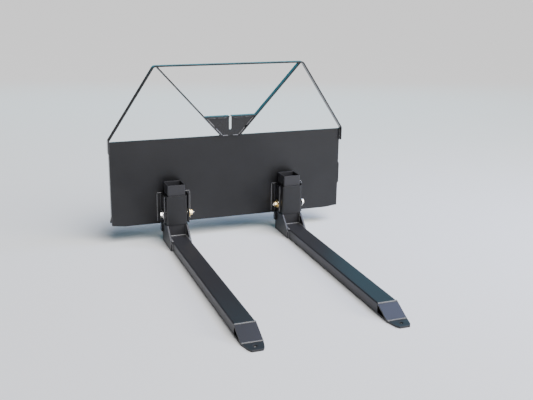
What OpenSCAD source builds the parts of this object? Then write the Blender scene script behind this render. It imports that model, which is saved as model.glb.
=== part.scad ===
// Pallet fork attachment: a flat carriage plate with a bent-bar load guard on
// top, two square receivers welded to its front and a drop-in fork in each.
// Millimetres, +Z up. The tines lie on the ground plane and point to -Y. The
// origin is on the ground, at the middle of the whole attachment.

/* [Carriage plate] */
// Width of the carriage plate
plate_w = 1143; // [960:1:1380]
// Height of the carriage plate
plate_h = 404; // [360:1:490]
// Thickness of the carriage plate
plate_t = 10; // [7:0.5:13]
// Height of the plate's bottom edge above the ground
plate_lift = 84; // [78:1:100]
// Rise of the plate's bottom corners
corner_rise = 7; // [2:1:16]
// Length of each bottom corner's slope
corner_run = 63; // [30:1:90]

/* [Load guard] */
// Height of the guard above the plate's top edge
guard_h = 338; // [270:1:420]
// Width across the guard's top corners
guard_top_w = 722; // [580:1:860]
// Thickness of the guard's flat bar
bar_t = 6.35; // [4:0.05:10]
// Depth of the guard's flat bar, front to back
bar_d = 29; // [20:1:40]
// Set-back of the bar's front edge, in front of the plate's face
bar_front = 15; // [10:1:20]
// Inside radius of the guard's bends
bend_r = 13; // [6:1:22]
// Length of each guard tail on the plate's edge
tail_len = 56; // [40:1:90]
// Slope of each tail's cut lower end
tail_cut = 4; // [1:1:10]
// Distance between the feet of the two inner braces
brace_foot_w = 88; // [72:1:110]

/* [Chain hanger] */
// Height of the chain hanger's plate above the carriage plate
hanger_h = 88; // [60:1:120]
// Thickness of the chain hanger's plate
hanger_t = 6; // [4:0.5:10]
// Width of the chain slot
chain_slot_w = 12; // [9:0.5:18]
// Depth of the chain slot, measured down from the hanger's top bar
chain_slot_d = 60; // [30:1:72]

/* [Receivers] */
// Distance between the centre lines of the two forks
fork_pitch = 572; // [450:1:720]
// Wall of each receiver sleeve
sleeve_wall = 4.75; // [3:0.25:8]
// Play between a shank and its sleeve, each side
sleeve_play = 2; // [0.3:0.1:3]
// Height of each receiver sleeve
sleeve_h = 138; // [110:1:190]
// Height of the sleeve's lower end above the plate's bottom edge
sleeve_rise = 17; // [10:1:40]
// Thickness of the angle brackets beside each sleeve
angle_t = 6; // [4:0.5:10]
// Width of the bracket leg that lies on the plate
angle_out = 23; // [18:1:34]
// Reach of the bracket leg that carries the bolt
angle_reach = 60; // [52:1:72]
// Stand-off between each sleeve and the bracket on its +X side
angle_gap = 13; // [0:0.5:18]
// Height of the angle brackets
angle_h = 140; // [118:1:160]
// Height of the brackets' lower end above the plate's bottom edge
angle_rise = 10; // [4:1:24]

/* [Forks] */
// Width of the shank and tine tubes
tube_w = 84; // [68:1:102]
// Wall of the shank and tine tubes
tube_wall = 5; // [3.5:0.25:8]
// Outside corner radius of the tubes
tube_r = 6; // [5.8:0.1:9]
// Height of the tine tube
tine_h = 46; // [40:1:56]
// Reach of the tine tube in front of the plate
tine_reach = 1071; // [860:1:1290]
// Length of the tapered nose and tip in front of the tine tube
tip_len = 139; // [110:1:170]
// Length of the sloped nose, measured along the ground
nose_run = 79; // [60:1:100]
// Thickness of the nose plate
nose_t = 7; // [5:0.5:9]
// Thickness of the tip plate
tip_t = 8; // [6:0.5:10]
// Width of the tip's front edge
tip_front_w = 42; // [30:1:50]
// Width of the tip where its front corners are cut
tip_cut_w = 60; // [52:1:66]
// Length of the cut front corners
tip_cut = 14; // [6:1:20]
// Diameter of the hole in the tip
tip_hole_d = 17; // [12:0.5:20]
// Distance from the tip's front edge to its hole
tip_hole_in = 29; // [22:1:36]
// Height of the shank's open top above the ground
shank_top = 289; // [262:1:330]
// Thickness of the heel gussets
gusset_t = 8; // [4:0.25:10]
// Reach of the heel gussets in front of the plate
gusset_reach = 168; // [140:1:210]
// Height of the gusset's vertical front edge
gusset_nose = 34; // [24:1:44]

/* [Retaining bolts] */
// Diameter of the bolt
bolt_d = 15.875; // [12:0.125:18]
// Width across the flats of the head and the nut
hex_af = 23.8; // [20:0.1:27]
// Height of the bolt's head
head_h = 10.2; // [7:0.1:13]
// Height of the nut
nut_h = 13.9; // [10:0.1:17]
// Diameter of the washers
washer_d = 44; // [34:1:48]
// Thickness of the washers
washer_t = 3.4; // [2:0.1:5]
// Distance of the bolt's axis in front of the plate
bolt_out = 42; // [38:1:46]
// Height of the bolt's axis above the plate's bottom edge
bolt_rise = 55; // [44:1:90]
// Length of thread that stands out of the nut
bolt_end = 8; // [4:0.5:14]
// Radial gap between the bolt and the nut's bore
thread_gap = 0.3; // [0.2:0.05:0.5]
// Radial gap between the bolt and the holes it crosses
bolt_gap = 0.7; // [0.4:0.1:1.5]

/* [Rear coupling] */
// Thickness of the top lip and the lower flange
lip_t = 10; // [7:0.5:13]
// Reach of the top lip behind the plate
lip_reach = 28; // [20:1:44]
// Reach of the lower flange behind the plate
flange_reach = 48; // [40:1:60]
// Height of the lower flange's root above the plate's bottom edge
flange_root = 66; // [62:1:90]
// Distance between the centres of the two lock-pin slots
pin_pitch = 776; // [690:1:820]
// Length of each lock-pin slot
pin_slot_l = 64; // [50:1:80]
// Width of each lock-pin slot
pin_slot_w = 24; // [18:1:26]
// Thickness of the end ribs
rib_t = 12; // [8:0.5:12]
// Depth of the end ribs behind the plate
rib_d = 20; // [14:1:24]
// Drop of the heel stops below the plate's bottom edge
stop_drop = 34; // [24:1:60]
// Thickness of the heel stops
stop_t = 8; // [5:0.5:10]
// Depth of the heel stops in front of the plate
stop_d = 22; // [14:1:30]
// Gap between a heel stop's inner face and the gusset's outer face
stop_gap = 0.3; // [0.2:0.1:3]
// Height of the side lug's lower end above the plate's bottom edge
lug_rise = 109; // [80:1:130]
// Length of the side lug
lug_len = 121; // [90:1:140]
// Thickness of the side lug
lug_t = 5; // [3:0.25:6]
// Depth of the side lug
lug_d = 20; // [12:1:26]

/* [Hidden] */
$fn = 96;
overrun = 1;                                    // how far a cutter passes a face
bend_steps = 8;                                 // flats in each bend of the guard
heel_gap = 3;                                   // gusset's rear edge to the plate
lip_drop = lip_t * sqrt(2);                     // height of a 45 degree plate's root
plate_z0 = plate_lift;
plate_z1 = plate_lift + plate_h;
guard_z = plate_z1 + guard_h;
guard_half = guard_top_w / 2;
tail_x = plate_w / 2 + bar_t;
tail_z = plate_z1 + 8;                          // height of the guard's lower bends
// slope of the guard's side, measured from the level
side_run = tail_x - guard_half;
side_rise = guard_z - tail_z;
side_a = atan2(side_rise, side_run);
top_turn = side_a;
low_turn = 90 - side_a;
bend_out = bend_r + bar_t;
top_tan = bend_out * tan(top_turn / 2);
low_tan = bend_out * tan(low_turn / 2);
top_flat = guard_half - top_tan;                // half the guard's straight top
// inner braces run from the plate's edge to the guard's top bar
brace_top_x = top_flat - 5.5;
brace_z1 = guard_z - bar_t;
brace_foot_x = brace_foot_w / 2;
brace_a = atan2(brace_z1 - plate_z1, brace_top_x - brace_foot_x);
brace_half = bar_t / sin(brace_a) / 2;          // half the bar's level width
hanger_z1 = plate_z1 + hanger_h;
hanger_foot = brace_foot_x - brace_half;
hanger_x1 = hanger_foot + hanger_h / tan(brace_a);
hanger_x2 = hanger_foot + (hanger_h + bar_t) / tan(brace_a);
// receivers
sleeve_in = tube_w + 2 * sleeve_play;
sleeve_out = sleeve_in + 2 * sleeve_wall;
sleeve_z0 = plate_z0 + sleeve_rise;
sleeve_half = sleeve_out / 2;
shank_rear = sleeve_wall + sleeve_play;         // shank's rear face to the plate
shank_front = shank_rear + tube_w;
angle_x = sleeve_half + angle_t;                // outer face of the bolted leg
angle_z0 = plate_z0 + angle_rise;
// forks
shank_z0 = tine_h;
gusset_top = sleeve_z0 - 2;
gusset_x = tube_w / 2 + gusset_t;               // gusset's outer face
relief_top = min(sleeve_z0, angle_z0) - 2;      // gusset's top under the brackets
relief_y = angle_reach + 2;                     // length of that relief
tip_reach = tine_reach + tip_len;
nose_drop = tine_h - tip_t;
nose_l = sqrt(nose_run * nose_run + nose_drop * nose_drop);
nose_back = nose_t * nose_l / nose_run;         // nose plate's height at its root
nose_foot = nose_t * nose_l / nose_drop;        // nose plate's length at its foot
// retaining bolts
bolt_r = bolt_d / 2;
bolt_z = plate_z0 + bolt_rise;
hole_r = bolt_r + bolt_gap;
// outer face of a fork's bracket on its outer side, and on the side between the forks
function head_seat(side) = angle_x + (side > 0 ? angle_gap : 0);
function nut_seat(side) = angle_x + (side < 0 ? angle_gap : 0);
function bolt_tip(side) = nut_seat(side) + washer_t + nut_h + bolt_end;
// rear coupling
rear_y = plate_t;
lip_root = plate_z1;
lip_cut = lip_t / sqrt(2);
flange_z = plate_z0 + flange_root;
pin_y = plate_t + flange_reach / 2 + lip_cut / 2;
stop_x = gusset_x + stop_gap;
rib_z0 = flange_z;
rib_z1 = lip_root - lip_drop - rib_d;
// the origin lies under the middle of the whole length
rear_max = plate_t + flange_reach + lip_cut;
origin_y = (tip_reach - rear_max) / 2;

// ---- placing ----
module placed() { translate([0, origin_y, 0]) children(); }
// side: -1 is the fork at -X, +1 the fork at +X
module at_fork(side) { translate([side * fork_pitch / 2, 0, 0]) children(); }
// a profile drawn as [y, z], pulled out along X between two planes
module along_x(x0, x1) {
  translate([x0, 0, 0]) rotate([90, 0, 90]) linear_extrude(height = x1 - x0) children();
}
// a profile drawn as [x, z], pulled out along Y between two planes
module along_y(y0, y1) {
  translate([0, y1, 0]) rotate([90, 0, 0]) linear_extrude(height = y1 - y0) children();
}
module round_rect(w, h, r) {
  translate([-w / 2 + r, -h / 2]) square([w - 2 * r, h]);
  translate([-w / 2, -h / 2 + r]) square([w, h - 2 * r]);
  for (sx = [-1, 1], sy = [-1, 1])
    translate([sx * (w / 2 - r), sy * (h / 2 - r)]) circle(r = r);
}
module tube_ring(w, h, r, wall) {
  difference() {
    round_rect(w, h, r);
    round_rect(w - 2 * wall, h - 2 * wall, max(r - wall, 0.8));
  }
}
module cross_hole(x0, x1, r) {
  translate([x0, -bolt_out, bolt_z]) rotate([0, 90, 0]) cylinder(r = r, h = x1 - x0);
}

// ---- carriage plate ----
module face_plate() color("#26272a") placed()
  along_y(0, plate_t) polygon([
    [-plate_w / 2, plate_z0 + corner_rise], [-plate_w / 2 + corner_run, plate_z0],
    [plate_w / 2 - corner_run, plate_z0], [plate_w / 2, plate_z0 + corner_rise],
    [plate_w / 2, plate_z1], [-plate_w / 2, plate_z1]]);

// ---- rear coupling ----
module top_lip() color("#26272a") placed()
  along_x(-plate_w / 2, plate_w / 2) polygon([
    [rear_y, lip_root], [rear_y, lip_root - lip_drop],
    [rear_y + lip_reach, lip_root - lip_drop - lip_reach],
    [rear_y + lip_reach + lip_cut, lip_root - lip_reach - lip_cut]]);
module bottom_flange() color("#26272a") placed() difference() {
  along_x(-plate_w / 2, plate_w / 2) polygon([
    [rear_y, flange_z], [rear_y, flange_z - lip_drop],
    [rear_y + flange_reach, flange_z - lip_drop - flange_reach],
    [rear_y + flange_reach + lip_cut, flange_z - flange_reach - lip_cut]]);
  for (s = [-1, 1])
    translate([s * pin_pitch / 2 - pin_slot_l / 2, pin_y - pin_slot_w / 2, plate_z0 - flange_reach])
      cube([pin_slot_l, pin_slot_w, 2 * flange_reach + flange_root]);
}
module end_rib(side) color("#26272a") placed()
  along_x(side > 0 ? plate_w / 2 - rib_t : -plate_w / 2,
          side > 0 ? plate_w / 2 : -plate_w / 2 + rib_t)
    polygon([[rear_y, rib_z0], [rear_y + rib_d, rib_z0 - rib_d],
             [rear_y + rib_d, rib_z1], [rear_y, rib_z1 + rib_d]]);
module end_rib_left() end_rib(-1);
module end_rib_right() end_rib(1);
// side picks the fork, way the side of that fork: -1 towards -X
module heel_stop(side, way) color("#1d1e20") placed() at_fork(side)
  along_x(way > 0 ? stop_x : -stop_x - stop_t, way > 0 ? stop_x + stop_t : -stop_x)
    polygon([[-stop_d, plate_z0 - stop_drop], [0, plate_z0 - stop_drop],
             [0, angle_z0], [-stop_d, angle_z0]]);
module heel_stop_left_outer() heel_stop(-1, -1);
module heel_stop_left_inner() heel_stop(-1, 1);
module heel_stop_right_inner() heel_stop(1, -1);
module heel_stop_right_outer() heel_stop(1, 1);
module side_lug() color("#26272a") placed()
  along_x(plate_w / 2, plate_w / 2 + lug_t) {
    lug_z0 = plate_z0 + lug_rise;
    polygon([[0, lug_z0 + lug_d], [lug_d, lug_z0], [lug_d, lug_z0 + lug_len - lug_d / 2],
             [0, lug_z0 + lug_len - lug_d / 2]]);
    translate([lug_d / 2, lug_z0 + lug_len - lug_d / 2]) circle(d = lug_d);
  }

// ---- load guard ----
// points along a bend round [x, z], from angle a0 to angle a1
function bend(x, z, r, a0, a1) =
  [for (i = [0:bend_steps]) let (a = a0 + (a1 - a0) * i / bend_steps) [x + r * cos(a), z + r * sin(a)]];
// the same points on the -X side, in the opposite order
function far_side(pts) = [for (i = [len(pts) - 1:-1:0]) [-pts[i][0], pts[i][1]]];
guard_outer = concat(
  bend(top_flat, guard_z - bend_out, bend_out, 90, 90 - top_turn),
  bend(tail_x - bend_out, tail_z - low_tan, bend_out, low_turn, 0),
  [[tail_x, plate_z1 - tail_len + tail_cut]]);
guard_inner = concat(
  [[tail_x - bar_t, plate_z1 - tail_len]],
  bend(tail_x - bend_out, tail_z - low_tan, bend_r, 0, low_turn),
  bend(top_flat, guard_z - bend_out, bend_r, 90 - top_turn, 90));
module guard_bar() color("#202124") placed()
  along_y(-bar_front, bar_d - bar_front)
    polygon(concat(guard_outer, guard_inner, far_side(guard_inner), far_side(guard_outer)));
module brace(side) color("#202124") placed() mirror([side < 0 ? 1 : 0, 0, 0])
  along_y(-bar_front, bar_d - bar_front) polygon([
    [brace_foot_x - brace_half, plate_z1], [brace_foot_x + brace_half, plate_z1],
    [brace_top_x + brace_half, brace_z1], [brace_top_x - brace_half, brace_z1]]);
module brace_left() brace(-1);
module brace_right() brace(1);
module hanger_plate() color("#202124") placed() difference() {
  along_y(-hanger_t, 0) polygon([
    [-hanger_foot, plate_z1], [hanger_foot, plate_z1],
    [hanger_x1, hanger_z1], [-hanger_x1, hanger_z1]]);
  slot_z = hanger_z1 - chain_slot_d + chain_slot_w / 2;
  translate([-chain_slot_w / 2, -hanger_t - overrun, slot_z])
    cube([chain_slot_w, hanger_t + 2 * overrun, hanger_h]);
  translate([0, overrun, slot_z]) rotate([90, 0, 0])
    cylinder(d = chain_slot_w, h = hanger_t + 2 * overrun);
}
module hanger_bar(side) color("#202124") placed() mirror([side < 0 ? 1 : 0, 0, 0])
  along_y(-bar_front, bar_d - bar_front) polygon([
    [chain_slot_w / 2, hanger_z1], [hanger_x1, hanger_z1],
    [hanger_x2, hanger_z1 + bar_t], [chain_slot_w / 2, hanger_z1 + bar_t]]);
module hanger_bar_left() hanger_bar(-1);
module hanger_bar_right() hanger_bar(1);

// ---- receivers ----
module sleeve(side) color("#2a2b2e") placed() at_fork(side) difference() {
  translate([0, -sleeve_half, sleeve_z0]) linear_extrude(height = sleeve_h)
    tube_ring(sleeve_out, sleeve_out, tube_r + sleeve_play, sleeve_wall);
  cross_hole(-sleeve_out, sleeve_out, hole_r);
}
module sleeve_left() sleeve(-1);
module sleeve_right() sleeve(1);
module angle_bracket(side, way) color("#2a2b2e") placed() at_fork(side)
  mirror([way < 0 ? 1 : 0, 0, 0]) difference() {
    translate([way > 0 ? angle_gap : 0, 0, angle_z0]) linear_extrude(height = angle_h) polygon([
      [sleeve_half, 0], [sleeve_half, -angle_reach], [angle_x, -angle_reach],
      [angle_x, -angle_t], [sleeve_half + angle_out, -angle_t], [sleeve_half + angle_out, 0]]);
    cross_hole(0, 2 * angle_x, hole_r);
  }
module angle_left_outer() angle_bracket(-1, -1);
module angle_left_inner() angle_bracket(-1, 1);
module angle_right_inner() angle_bracket(1, -1);
module angle_right_outer() angle_bracket(1, 1);

// ---- forks ----
module shank(side) color("#242528") placed() at_fork(side) difference() {
  translate([0, -shank_rear - tube_w / 2, shank_z0]) linear_extrude(height = shank_top - shank_z0)
    tube_ring(tube_w, tube_w, tube_r, tube_wall);
  cross_hole(-tube_w, tube_w, hole_r);
}
module shank_left() shank(-1);
module shank_right() shank(1);
module gusset(side, way) color("#242528") placed() at_fork(side)
  along_x(way > 0 ? tube_w / 2 : -gusset_x, way > 0 ? gusset_x : -tube_w / 2)
    polygon([[-heel_gap, 0], [-heel_gap, relief_top], [-relief_y, relief_top],
             [-relief_y, gusset_top], [-sleeve_out, gusset_top],
             [-gusset_reach, gusset_nose], [-gusset_reach, 0]]);
module gusset_left_outer() gusset(-1, -1);
module gusset_left_inner() gusset(-1, 1);
module gusset_right_inner() gusset(1, -1);
module gusset_right_outer() gusset(1, 1);
module tine(side) color("#242528") placed() at_fork(side)
  translate([0, -shank_rear, tine_h / 2]) rotate([90, 0, 0])
    linear_extrude(height = tine_reach - shank_rear)
      tube_ring(tube_w, tine_h, tube_r, tube_wall);
module tine_left() tine(-1);
module tine_right() tine(1);
module nose(side) color("#242528") placed() at_fork(side)
  along_x(-tube_w / 2, tube_w / 2) polygon([
    [-tine_reach, tine_h], [-tine_reach - nose_run, tip_t],
    [-tine_reach - nose_run + nose_foot, tip_t], [-tine_reach, tine_h - nose_back]]);
module nose_left() nose(-1);
module nose_right() nose(1);
module tip(side) color("#242528") placed() at_fork(side) difference() {
  linear_extrude(height = tip_t) polygon([
    [-tube_w / 2, -tine_reach], [-tube_w / 2, -tine_reach - nose_run],
    [-tip_cut_w / 2, -tip_reach + tip_cut], [-tip_front_w / 2, -tip_reach],
    [tip_front_w / 2, -tip_reach], [tip_cut_w / 2, -tip_reach + tip_cut],
    [tube_w / 2, -tine_reach - nose_run], [tube_w / 2, -tine_reach]]);
  translate([0, -tip_reach + tip_hole_in, -overrun])
    cylinder(d = tip_hole_d, h = tip_t + 2 * overrun);
}
module tip_left() tip(-1);
module tip_right() tip(1);

// ---- retaining bolts: head outside, nut between the forks ----
// drawn with +X as the outer side; each fork's brackets set its own grip
module bolt_side(side) placed() at_fork(side) mirror([side < 0 ? 1 : 0, 0, 0]) children();
module bolt_ring(x0, x1, r) {
  translate([x0, -bolt_out, bolt_z]) rotate([0, 90, 0]) cylinder(r = r, h = x1 - x0);
}
module hex_ring(x0, x1) {
  translate([x0, -bolt_out, bolt_z]) rotate([0, 90, 0])
    cylinder(d = hex_af / cos(30), h = x1 - x0, $fn = 6);
}
module bolt(side) color("#c9b26a") bolt_side(side) {
  bolt_ring(-bolt_tip(side), head_seat(side) + washer_t, bolt_r);
  hex_ring(head_seat(side) + washer_t, head_seat(side) + washer_t + head_h);
}
module bolt_left() bolt(-1);
module bolt_right() bolt(1);
module head_washer(side) color("#c9b26a") bolt_side(side) difference() {
  bolt_ring(head_seat(side), head_seat(side) + washer_t, washer_d / 2);
  bolt_ring(head_seat(side) - overrun, head_seat(side) + washer_t + overrun, bolt_r);
}
module head_washer_left() head_washer(-1);
module head_washer_right() head_washer(1);
module nut_washer(side) color("#c9b26a") bolt_side(side) difference() {
  bolt_ring(-nut_seat(side) - washer_t, -nut_seat(side), washer_d / 2);
  bolt_ring(-nut_seat(side) - washer_t - overrun, -nut_seat(side) + overrun, bolt_r + thread_gap);
}
module nut_washer_left() nut_washer(-1);
module nut_washer_right() nut_washer(1);
module nut(side) color("#c9b26a") bolt_side(side) difference() {
  hex_ring(-nut_seat(side) - washer_t - nut_h, -nut_seat(side) - washer_t);
  bolt_ring(-nut_seat(side) - washer_t - nut_h - overrun, -nut_seat(side) - washer_t + overrun,
            bolt_r + thread_gap);
}
module nut_left() nut(-1);
module nut_right() nut(1);

face_plate();
top_lip();
bottom_flange();
end_rib_left();
end_rib_right();
heel_stop_left_outer();
heel_stop_left_inner();
heel_stop_right_inner();
heel_stop_right_outer();
side_lug();
guard_bar();
brace_left();
brace_right();
hanger_plate();
hanger_bar_left();
hanger_bar_right();
sleeve_left();
sleeve_right();
angle_left_outer();
angle_left_inner();
angle_right_inner();
angle_right_outer();
shank_left();
shank_right();
gusset_left_outer();
gusset_left_inner();
gusset_right_inner();
gusset_right_outer();
tine_left();
tine_right();
nose_left();
nose_right();
tip_left();
tip_right();
bolt_left();
bolt_right();
head_washer_left();
head_washer_right();
nut_washer_left();
nut_washer_right();
nut_left();
nut_right();
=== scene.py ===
"""Looks of a pallet fork attachment.

A flat carriage plate carries a bent-bar load guard with a chain hanger, two
square receivers and a drop-in fork in each, held by a cross bolt. Sizes in the
classes are millimetres, with the plate's front face at y = 0, its middle at
x = 0 and the ground at z = 0. The bench turns them into metres in the frame.
"""

from __future__ import annotations

import logging
import math
from dataclasses import dataclass, field
from enum import Enum
from typing import Any, Iterable, Sequence

import bmesh
import bpy
from mathutils import Matrix, Vector

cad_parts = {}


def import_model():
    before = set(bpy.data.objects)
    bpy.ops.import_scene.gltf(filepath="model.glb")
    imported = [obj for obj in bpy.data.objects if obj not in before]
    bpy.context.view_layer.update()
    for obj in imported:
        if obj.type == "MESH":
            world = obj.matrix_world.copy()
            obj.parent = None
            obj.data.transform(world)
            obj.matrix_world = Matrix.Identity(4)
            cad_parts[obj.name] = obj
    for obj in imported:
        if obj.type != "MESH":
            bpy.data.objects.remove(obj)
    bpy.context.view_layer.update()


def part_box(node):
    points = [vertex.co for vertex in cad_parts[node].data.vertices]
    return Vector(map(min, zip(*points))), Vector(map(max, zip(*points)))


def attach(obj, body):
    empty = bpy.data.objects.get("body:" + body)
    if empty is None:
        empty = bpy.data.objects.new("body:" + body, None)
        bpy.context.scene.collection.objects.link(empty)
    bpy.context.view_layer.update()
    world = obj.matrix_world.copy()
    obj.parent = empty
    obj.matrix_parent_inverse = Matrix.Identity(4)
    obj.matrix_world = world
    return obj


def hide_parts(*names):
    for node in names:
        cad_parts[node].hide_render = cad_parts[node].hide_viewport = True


LOG = logging.getLogger("fork_attachment")
MM = 0.001

Point2 = tuple[float, float]
Point3 = tuple[float, float, float]
Path = Sequence[Point3]


class Axis(Enum):
    """The axis that a profile is pulled along; the profile holds the other two, in order."""

    X = 0
    Y = 1
    Z = 2


class Side(Enum):
    """Which of the two forks, by the sign of its X."""

    LEFT = -1
    RIGHT = 1

    @property
    def word(self) -> str:
        """The side's word in node and body names."""
        return self.name.lower()

    @property
    def flanks(self) -> tuple[tuple[int, str], tuple[int, str]]:
        """The fork's outer and inner side, each as the sign of its X and its word."""
        return (self.value, "outer"), (-self.value, "inner")


def in_scene(name: str, data: Any) -> bpy.types.Object:
    """Makes an object and links it to the scene.

    Args:
        name: the object's name.
        data: its mesh, camera or light.

    Returns:
        The new object.
    """
    made = bpy.data.objects.new(name, data)
    bpy.context.scene.collection.objects.link(made)
    return made


# ---------------------------------------------------------------- node trees


class NodeBench:
    """Adds nodes to one tree, and joins them."""

    def __init__(self, tree: bpy.types.NodeTree) -> None:
        """Keeps the tree and empties it.

        Args:
            tree: the shader or geometry tree to fill.
        """
        self.tree = tree
        tree.nodes.clear()

    def add(
        self,
        kind: str,
        settings: dict[str, Any] | None = None,
        inputs: dict[str | int, Any] | None = None,
    ) -> bpy.types.Node:
        """Adds one node.

        Args:
            kind: the node's type name.
            settings: properties, such as an operation, set before the sockets.
                "stops" is a colour ramp's list of (position, colour).
            inputs: values, sockets or wrapped sockets for the input sockets,
                by name or by number.

        Returns:
            The node.
        """
        node = self.tree.nodes.new(kind)
        for key, value in (settings or {}).items():
            if key == "stops":
                ramp = node.color_ramp
                while len(ramp.elements) > 1:
                    ramp.elements.remove(ramp.elements[-1])
                ramp.elements[0].position, ramp.elements[0].color = value[0]
                for position, colour in value[1:]:
                    ramp.elements.new(position).color = colour
            else:
                setattr(node, key, value)
        for key, value in (inputs or {}).items():
            socket = node.inputs[key]
            if isinstance(value, Num):
                value = value.socket
            if isinstance(value, bpy.types.NodeSocket):
                self.tree.links.new(value, socket)
            else:
                socket.default_value = value
        return node


class Num:
    """A shader value that takes part in Python arithmetic."""

    def __init__(self, bench: NodeBench, socket: bpy.types.NodeSocket) -> None:
        """Wraps a socket.

        Args:
            bench: the bench of the socket's tree.
            socket: an output socket that holds a number.
        """
        self.bench = bench
        self.socket = socket

    def _math(self, operation: str, *values: Any) -> "Num":
        """Adds one Math node.

        Args:
            operation: the Math node's operation.
            *values: its operands, in order.

        Returns:
            The wrapped result.
        """
        node = self.bench.add("ShaderNodeMath", {"operation": operation}, dict(enumerate(values)))
        return Num(self.bench, node.outputs[0])

    def __add__(self, other: Any) -> "Num":
        """self + other."""
        return self._math("ADD", self, other)

    __radd__ = __add__

    def __sub__(self, other: Any) -> "Num":
        """self - other."""
        return self._math("SUBTRACT", self, other)

    def __rsub__(self, other: Any) -> "Num":
        """other - self."""
        return self._math("SUBTRACT", other, self)

    def __mul__(self, other: Any) -> "Num":
        """self * other."""
        return self._math("MULTIPLY", self, other)

    __rmul__ = __mul__

    def __truediv__(self, other: Any) -> "Num":
        """self / other."""
        return self._math("DIVIDE", self, other)

    def __rtruediv__(self, other: Any) -> "Num":
        """other / self."""
        return self._math("DIVIDE", other, self)

    def above(self, low: float, high: float) -> "Num":
        """How far the value lies between low and high, held to 0 and 1."""
        span = (self - low) / (high - low)
        return span._math("MINIMUM", span._math("MAXIMUM", span, 0.0), 1.0)


# ------------------------------------------------------------------ finishes


class Finish:
    """A procedural material; subclasses fill in the shader."""

    name: str
    slot: str

    def material(self) -> bpy.types.Material:
        """Finds the material, or makes it on the first call.

        Returns:
            The material.
        """
        found = bpy.data.materials.get(self.name)
        if found:
            return found
        made = bpy.data.materials.new(self.name)
        made.use_nodes = True
        bench = NodeBench(made.node_tree)
        shader = bench.add("ShaderNodeBsdfPrincipled")
        bench.add("ShaderNodeOutputMaterial", None, {"Surface": shader.outputs[0]})
        place = bench.add("ShaderNodeTexCoord").outputs["Object"]
        self.fill(bench, shader, place)
        return made

    def fill(self, bench: NodeBench, shader: bpy.types.Node, place: bpy.types.NodeSocket) -> None:
        """Sets the shader's sockets and the nodes that feed them.

        Args:
            bench: the material's node bench.
            shader: the principled shader.
            place: object coordinates, in metres.
        """
        raise NotImplementedError

    @staticmethod
    def feed(
        bench: NodeBench, shader: bpy.types.Node, colour: Any, gloss: Num, bump: bpy.types.Node
    ) -> None:
        """Links what changes over the surface.

        Args:
            bench: the material's node bench.
            shader: the principled shader.
            colour: the colour's socket.
            gloss: the roughness.
            bump: the Bump node.
        """
        links = {"Base Color": colour, "Roughness": gloss.socket, "Normal": bump.outputs[0]}
        for name, socket in links.items():
            bench.tree.links.new(socket, shader.inputs[name])

    @staticmethod
    def noise(
        bench: NodeBench, place: Any, scale: float, detail: float = 2.0, rough: float = 0.5
    ) -> Num:
        """Works out a noise value.

        Args:
            bench: the material's node bench.
            place: the coordinates to read.
            scale: features to the metre.
            detail: octaves.
            rough: weight of the finer octaves.

        Returns:
            A noise value.
        """
        node = bench.add(
            "ShaderNodeTexNoise", {"noise_dimensions": "3D"},
            {"Vector": place, "Scale": scale, "Detail": detail, "Roughness": rough},
        )
        return Num(bench, node.outputs["Fac"])

    @staticmethod
    def stretched(bench: NodeBench, place: Any, scale: Point3) -> bpy.types.NodeSocket:
        """Returns the coordinates scaled by a different number along each axis."""
        return bench.add("ShaderNodeMapping", None, {"Vector": place, "Scale": scale}).outputs[0]

    @staticmethod
    def blend(bench: NodeBench, factor: Any, first: Any, second: Any) -> bpy.types.NodeSocket:
        """Returns a colour between two, by a factor from 0 to 1."""
        node = bench.add("ShaderNodeMix", {"data_type": "RGBA"}, {0: factor, 6: first, 7: second})
        return node.outputs[2]


@dataclass(frozen=True)
class SatinPaint(Finish):
    """Sprayed black enamel over hot-rolled steel.

    Attributes:
        name: the material's name.
        colour: the paint's colour, linear.
        haze: the colour of settled dust and thin spots.
        roughness: the paint's mean roughness.
        peel: depth of the orange peel, in metres.
        rub: how much the top faces are rubbed along Y, 0 to 1.
        coat: weight of the clear top layer.
        shine: the paint's specular level; 0.5 is plain enamel.
        slot: the name of a material slot; not used.
    """

    name: str
    colour: Point3 = (0.006, 0.006, 0.007)
    haze: Point3 = (0.022, 0.022, 0.024)
    roughness: float = 0.4
    peel: float = 0.00006
    rub: float = 0.0
    coat: float = 0.15
    shine: float = 0.5
    slot: str = "frame_paint"

    def fill(self, bench: NodeBench, shader: bpy.types.Node, place: bpy.types.NodeSocket) -> None:
        """Builds the enamel: film colour, dust, uneven gloss, orange peel and rubbed streaks.

        Args:
            bench: the material's node bench.
            shader: the principled shader.
            place: object coordinates, in metres.
        """
        cloud = self.noise(bench, place, scale=5.0, detail=4.0, rough=0.55)
        dust = self.noise(bench, place, scale=900.0, rough=0.6).above(0.56, 0.72)
        hung = self.stretched(bench, place, (30.0, 30.0, 3.0))
        run = self.noise(bench, hung, scale=1.0, detail=3.0)
        thin = cloud.above(0.35, 0.75) * 0.35 + dust * 0.22
        gloss = self.roughness + (cloud - 0.5) * 0.16 + (run - 0.5) * 0.08 + dust * 0.10
        if self.rub:
            drawn = self.stretched(bench, place, (420.0, 5.0, 420.0))
            streak = self.noise(bench, drawn, scale=1.0, detail=3.0, rough=0.7)
            normal = bench.add("ShaderNodeNewGeometry").outputs["Normal"]
            up = bench.add("ShaderNodeSeparateXYZ", None, {0: normal}).outputs[2]
            rubbed = streak.above(0.55, 0.78) * Num(bench, up).above(0.5, 0.9) * self.rub
            thin = thin + rubbed
            gloss = gloss - rubbed * 0.12
        shader.inputs["Coat Roughness"].default_value = 0.12
        shader.inputs["Coat Weight"].default_value = self.coat
        shader.inputs["Specular IOR Level"].default_value = self.shine
        colour = self.blend(bench, thin.above(0.0, 1.0), (*self.colour, 1.0), (*self.haze, 1.0))
        fine = self.noise(bench, place, scale=420.0, rough=0.4)
        peel = fine + self.noise(bench, place, scale=60.0) * 1.6
        bump = bench.add("ShaderNodeBump", None,
                         {"Strength": 1.0, "Distance": self.peel, "Height": peel})
        self.feed(bench, shader, colour, gloss, bump)


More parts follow.
